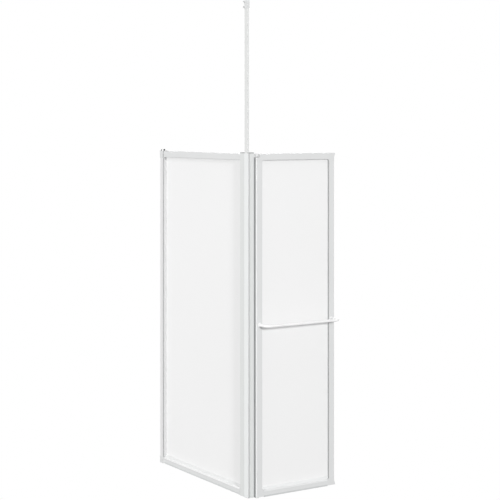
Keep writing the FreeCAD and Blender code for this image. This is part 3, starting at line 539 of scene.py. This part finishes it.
def makeLockScrews():
    points, faces = [], []
    solids = looseSolids("wall_cap_screws")
    widths = [max(p.x for p in solid) - min(p.x for p in solid) for solid in solids]
    for solid, width in zip(solids, widths):
        lockScrewHead(points, faces, solid, width == max(widths))
    addPiece("wall-cap-screws", points, faces, "dark_plastic", "screen", ["wall_cap_screws"])


makeLockScrews()
print("locking screws made")


# Towel rail

towelRail = {
    "segments": 48,
    "bend": 0.022,              # radius of the rail's middle line in a bend
    "bendSteps": 20,
    "footFillet": 0.0016,       # weld that runs out onto the flange
    "filletSteps": 5,
}


def makeTowelRail():
    low, high = (Vector(corner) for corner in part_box("towel_rail"))
    radius = (high.z - low.z) / 2
    z = (high.z + low.z) / 2
    leftX, rightX = low.x + radius, high.x - radius
    frontY, footY = low.y + radius, high.y
    bend = towelRail["bend"]
    fillet = towelRail["footFillet"]

    stations = []                           # (place, direction, radius) along the bar
    out = Vector((0, -1, 0))
    for a in quarterTurn(towelRail["filletSteps"]):
        stations.append((Vector((leftX, footY - fillet * (1 - math.cos(a)), z)), out,
                         radius + fillet * (1 - math.sin(a))))
    for a in quarterTurn(towelRail["bendSteps"]):
        hub = Vector((leftX + bend, frontY + bend, z))
        stations.append((hub + Vector((-math.cos(a), -math.sin(a), 0)) * bend,
                         Vector((math.sin(a), -math.cos(a), 0)), radius))
    for place, direction, r in reversed(stations.copy()):
        stations.append((Vector((leftX + rightX - place.x, place.y, z)),
                         Vector((direction.x, -direction.y, 0)), r))
    points, faces = [], []
    stackRings(points, faces, [roundRing(place, direction, r, towelRail["segments"])
                               for place, direction, r in stations])
    addPiece("towel-rail", points, faces, "rail_coating", "door", ["towel_rail"])


makeTowelRail()
print("towel rail made")


# Flanges of the towel rail

railFlanges = {
    "segments": 48,
    "edge": 0.0008,             # rounded rim
    "edgeSteps": 5,
    "rimShare": 0.5,            # height of the rim, of the flange's thickness
    "crownShare": 0.62,         # flat top, of the radius
}


def makeRailFlanges():
    points, faces = [], []
    out = Vector((0, -1, 0))
    edge = railFlanges["edge"]
    for solid in looseSolids("towel_rail_flanges"):
        low, high = cornersOf(solid)
        foot = Vector(((low.x + high.x) / 2, high.y, (low.z + high.z) / 2))
        radius = (high.z - low.z) / 2
        thickness = high.y - low.y
        rim = thickness * railFlanges["rimShare"]

        def ringAt(height, ringRadius):
            return roundRing(foot + out * height, out, ringRadius, railFlanges["segments"])

        rings = [ringAt(0, radius)]
        for a in quarterTurn(railFlanges["edgeSteps"]):
            rings.append(ringAt(rim - edge + edge * math.sin(a),
                                radius - edge + edge * math.cos(a)))
        rings.append(ringAt(thickness, radius * railFlanges["crownShare"]))
        stackRings(points, faces, rings)
    addPiece("towel-rail-flanges", points, faces, "rail_coating", "door", ["towel_rail_flanges"])


makeRailFlanges()
print("rail flanges made")


# Glazing gaskets: a paler ring down to the pane and a darker heel at the frame's lip. The heel's
# grey is painted shade, the shadow line along the edge of the frame's opening. The side panel's
# heel is a thin collar over the lip's edge, and the door's lies behind the lip.

glazingGaskets = {
    "cornerRadius": 0.009,
    "cornerSteps": 8,
    "rootRadius": 0.0004,
    # panel: front and back from the frame's face, inner and outer edge from the sight line
    "heels": {
        "side": (0.0002, 0.0033, -0.00025, 0.00005),
        "door": (0.0030, 0.0069, 0.0004, 0.0078),
    },
}


def frameLine(u0, u1, z0, z1, radius):
    # rounded rectangle as (u, z) points, a corner at a time
    steps = glazingGaskets["cornerSteps"]
    line = []
    for u, z, start in ((u1 - radius, z1 - radius, 0), (u0 + radius, z1 - radius, 90),
                        (u0 + radius, z0 + radius, 180), (u1 - radius, z0 + radius, 270)):
        for i in range(steps + 1):
            a = math.radians(start + 90 * i / steps)
            line.append((u + radius * math.cos(a), z + radius * math.sin(a)))
    return line


def addGasket(name, panel, front, back, inner, outer, nodes, batch):
    # a closed frame of rubber between two depths and two lines
    body, through, along = panels[panel]
    points, faces = [], []
    for depth, line in ((front, inner), (back, inner), (back, outer), (front, outer)):
        for u, z in line:
            place = [0, 0, z]
            place[through], place[along] = depth, u
            points.append(tuple(place))
    count = len(inner)
    for k in range(4):
        low, high = k * count, (k + 1) % 4 * count
        for i in range(count):
            j = (i + 1) % count
            face = (low + i, low + j, high + j, high + i)
            faces.append(face if through > along else face[::-1])
    addPiece(name, points, faces, "grey_gasket", body, nodes, smooth=False, batch=batch)


def makeGlazingGasket(panel):
    through, along = panels[panel][1:]
    sillLow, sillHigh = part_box(panel + "_sill")
    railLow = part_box(panel + "_top_rail")[0]
    ringLow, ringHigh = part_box(panel + "_gasket_outer")
    front, back, edge, root = glazingGaskets["heels"][panel]
    face = railLow[through]
    radius = glazingGaskets["cornerRadius"]

    def sightLine(grow):
        return frameLine(sillLow[along] - grow, sillHigh[along] + grow,
                         sillLow[2] - grow, railLow[2] + grow, radius)

    ringRoot = frameLine(ringLow[along], ringHigh[along], ringLow[2], ringHigh[2],
                         glazingGaskets["rootRadius"])
    # each panel's ring tone is painted light and shade
    addGasket(panel + "-gasket-ring", panel, face + back, ringHigh[through],
              sightLine(0), ringRoot, [panel + "_gasket_outer"], panel + "_gasket_outer")
    # the heel's grey is painted shade
    addGasket(panel + "-gasket-heel", panel, face + front, face + back,
              sightLine(edge), sightLine(root), [], panel + "_gasket_heel")


for panel in panels:
    makeGlazingGasket(panel)
print("glazing gaskets made")


# Grey strip in the step between the wall profile and the side panel: painted shade for the shadow
# line in that step

wallStepShade = {
    "width": 0.0021,            # along the panel
    "proud": 0.00145,           # from its back to its rounded front
    "stand": 0.00016,           # off the stile, flush with the corner connectors
    "slip": 0.0010,             # beside the profile's edge
    "round": 0.0007,
    "roundSteps": 5,
    "endGap": 0.0004,
}


def makeWallStepShade():
    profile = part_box("wall_profile")[0]
    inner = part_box("side_wall_stile")[0][0] - wallStepShade["stand"]
    outer = inner - wallStepShade["proud"]
    far = profile[1] - wallStepShade["slip"]
    near = far - wallStepShade["width"]
    corner = wallStepShade["round"]
    section = [(inner, near), (inner, far), (outer, far)]
    for a in quarterTurn(wallStepShade["roundSteps"]):
        section.append((outer + corner * (1 - math.cos(a)), near + corner * (1 - math.sin(a))))
    ends = (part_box("wall_profile_foot_cap")[1][2] + wallStepShade["endGap"],
            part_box("side_corner_top_wall")[1][2] - wallStepShade["endGap"])
    addUprightStrip("wall-step-shade", section, ends, "grey_seal", "wall_step_shade")


makeWallStepShade()
print("wall step shade made")


# Lips of the sills: each turns down over the top edge of the bottom rail

sillLips = {
    "drop": 0.0063,             # down the rail's face
    "thickness": 0.0009,
    "rise": 0.0009,             # above the rail
    "reach": 0.0038,            # back to the foot of the sill
    "slip": 0.00005,
    "bevel": 0.00085,           # the rail's edge with the slip
    "round": 0.0004,
    "endGap": 0.0003,
}


def makeSillLip(panel):
    body, through, along = panels[panel]
    low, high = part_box(panel + "_bottom_rail")
    drop, skin, rise, slip = (sillLips[k] for k in ("drop", "thickness", "rise", "slip"))
    reach, bevel, corner = (sillLips[k] for k in ("reach", "bevel", "round"))
    section = [                             # (way into the panel, height over the rail)
        (reach, slip), (reach, rise - slip), (0, rise), (corner - skin, rise - corner),
        (-skin, 0), (-skin, corner - drop), (corner - skin, -drop),
        (-slip, -drop), (-slip, -bevel), (bevel, slip),
    ]
    if through < along:
        section.reverse()
    rings = []
    for place in (low[along] + sillLips["endGap"], high[along] - sillLips["endGap"]):
        ring = []
        for depth, height in section:
            point = [0, 0, high[2] + height]
            point[through], point[along] = low[through] + depth, place
            ring.append(tuple(point))
        rings.append(ring)
    points, faces = [], []
    stackRings(points, faces, rings)
    # the side's lip takes the paler copy, a painted highlight
    addPiece(panel + "-sill-lip", points, faces, "sill_moulding", body, [],
             batch=panel + "_sill_lip")


for panel in panels:
    makeSillLip(panel)
print("sill lips made")


# Grey strip in the groove down the front of the pole guide: painted shade that darkens the guide's
# front face

guideShadeStrip = {
    "wall": 0.0011,             # guide's edge and a slip fit beside the strip
    "back": 0.0022,             # depth of the groove
    "front": 0.0008,            # strip's edge behind the guide's face
    "crown": 0.0004,            # bulge of its front
    "crownSteps": 8,
    "endGap": 0.0005,
}


def makeGuideShadeStrip():
    low, high = (Vector(corner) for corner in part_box("pole_guide"))
    x0, x1 = low.x + guideShadeStrip["wall"], high.x - guideShadeStrip["wall"]
    back, front = low.y + guideShadeStrip["back"], low.y + guideShadeStrip["front"]
    steps = guideShadeStrip["crownSteps"]
    section = [(x1, back), (x0, back)]
    for k in range(steps + 1):
        bulge = guideShadeStrip["crown"] * math.sin(math.pi * k / steps)
        section.append((x0 + (x1 - x0) * k / steps, front - bulge))
    ends = (low.z + guideShadeStrip["endGap"], high.z - guideShadeStrip["endGap"])
    addUprightStrip("guide-shade-strip", section, ends, "grey_gasket", "guide_shade_strip")


makeGuideShadeStrip()
print("guide shade strip made")


# Floor and light

studio = {
    "backdrop": 1.0,            # what the camera sees behind the screen
    "dome": 0.55,               # soft light from all round
    "floorSide": 120.0,
    "floorHex": "#ffffff",
    "floorGlow": 0.40,          # light that the pale floor sends back up
    "aim": (0.1, 0.2, 0.8),
    "lights": {                 # name: (place, power in watts, size)
        "left soft box": ((-7.6, 2.3, 0.8), 432.0, 4.0),
        "front soft box": ((-1.9, -11.0, 3.5), 684.0, 1.2),
        "bath soft box": ((5.6, 6.6, 1.6), 330.0, 4.0),
    },
}


def seenStrength(tree, glow):
    # the camera sees the backdrop's white, and the screen gets a softer glow
    seen = addNode(tree, "ShaderNodeLightPath").outputs["Is Camera Ray"]
    strength = addNode(tree, "ShaderNodeMapRange", {}, {
        "Value": seen, "To Min": glow, "To Max": studio["backdrop"]})
    return strength.outputs["Result"]


def makeFloor():
    half = studio["floorSide"] / 2
    corners = [(-half, -half, 0), (half, -half, 0), (half, half, 0), (-half, half, 0)]
    mesh = bpy.data.meshes.new("floor")
    mesh.from_pydata(corners, [], [(0, 1, 2, 3)])
    floor = bpy.data.objects.new("floor", mesh)
    bpy.context.collection.objects.link(floor)
    material = startMaterial("white studio floor")
    tree = material.node_tree
    shader = addNode(tree, "ShaderNodeEmission", {}, {
        "Color": linearColour(studio["floorHex"]),
        "Strength": seenStrength(tree, studio["floorGlow"])})
    addNode(tree, "ShaderNodeOutputMaterial", {}, {"Surface": shader.outputs["Emission"]})
    mesh.materials.append(material)


def makeLight(name, place, power, size):
    data = bpy.data.lights.new(name, "AREA")
    data.energy = power
    data.size = size
    light = bpy.data.objects.new(name, data)
    bpy.context.collection.objects.link(light)
    light.location = place
    towards = Vector(studio["aim"]) - Vector(place)
    light.rotation_euler = towards.to_track_quat("-Z", "Y").to_euler()


def makeDome():
    world = bpy.data.worlds.new("studio dome")
    world.use_nodes = True
    tree = world.node_tree
    background = tree.nodes["Background"]
    tree.links.new(seenStrength(tree, studio["dome"]), background.inputs["Strength"])
    background.inputs["Color"].default_value = (1, 1, 1, 1)
    bpy.context.scene.world = world


makeDome()
bpy.context.scene.view_settings.view_transform = "Standard"
makeFloor()
for name, (place, power, size) in studio["lights"].items():
    makeLight(name, place, power, size)
print("floor and lights placed")
